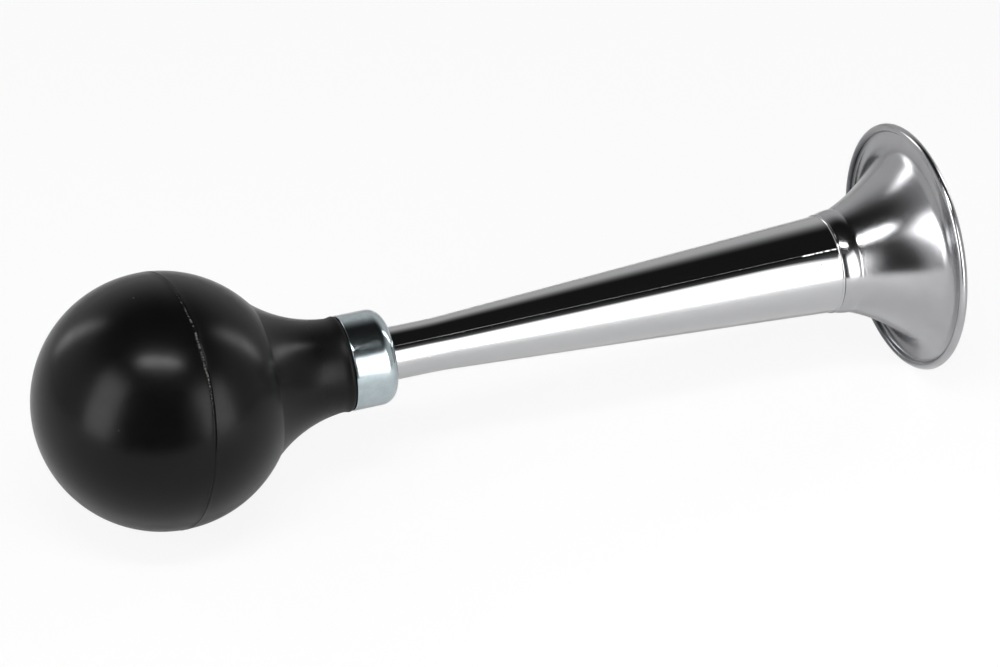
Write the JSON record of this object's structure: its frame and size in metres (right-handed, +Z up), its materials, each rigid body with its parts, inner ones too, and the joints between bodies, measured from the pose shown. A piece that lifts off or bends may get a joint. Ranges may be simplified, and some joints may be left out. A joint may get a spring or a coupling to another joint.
{
  "type": "bulb horn",
  "caption": "Straight bulb horn: a black rubber bulb in a zinc-plated ferrule, a chrome tapered trunk and a spun aluminium bell, sounded by a brass reed.",
  "frame": {"origin": "on the horn's axis, in the middle of the straight stretch of the trunk where a band clamp holds it", "axes": "+X along the horn's axis towards the bell's mouth, +Z up; the flat of the reed's shallot faces +Z"},
  "size_m": [0.2125, 0.0598, 0.0598],
  "materials": {
    "spun_aluminium": "spun satin with faint circular lines",
    "chrome_plate": "mirror chrome plate on steel sheet",
    "zinc_plate": "bright zinc plate on drawn steel, slightly mottled",
    "black_rubber": "satin moulded rubber",
    "reed_brass": "turned brass",
    "tongue_brass": "rolled spring brass"
  },
  "bodies": {
    "horn": {"trunk": "chrome_plate", "bell": "spun_aluminium", "reed_bush": "reed_brass", "reed_shallot": "reed_brass", "reed_clip": "reed_brass"},
    "reed": {"reed_tongue": "tongue_brass"},
    "bulb_unit": {"ferrule": "zinc_plate", "bulb_front_half": "black_rubber"},
    "bulb_back": {"bulb_back_half": "black_rubber"}
  },
  "joints": [
    {"name": "bulb_pull_off", "type": "slide", "parent": "horn", "child": "bulb_unit", "axis": [-1, 0, 0], "range_m": [0, 0.06]},
    {"name": "bulb_squeeze", "type": "slide", "parent": "bulb_unit", "child": "bulb_back", "axis": [1, 0, 0], "range_m": [0, 0.018], "stiffness_N_per_m": 800, "deforming": ["bulb_back_half", "bulb_front_half"]},
    {"name": "reed_beat", "type": "hinge", "parent": "horn", "child": "reed", "pos_m": [-0.02647, 0, 0.00215], "axis": [0, 1, 0], "range_deg": [-3, 3.5], "stiffness_Nm_per_rad": 0.03}
  ]
}
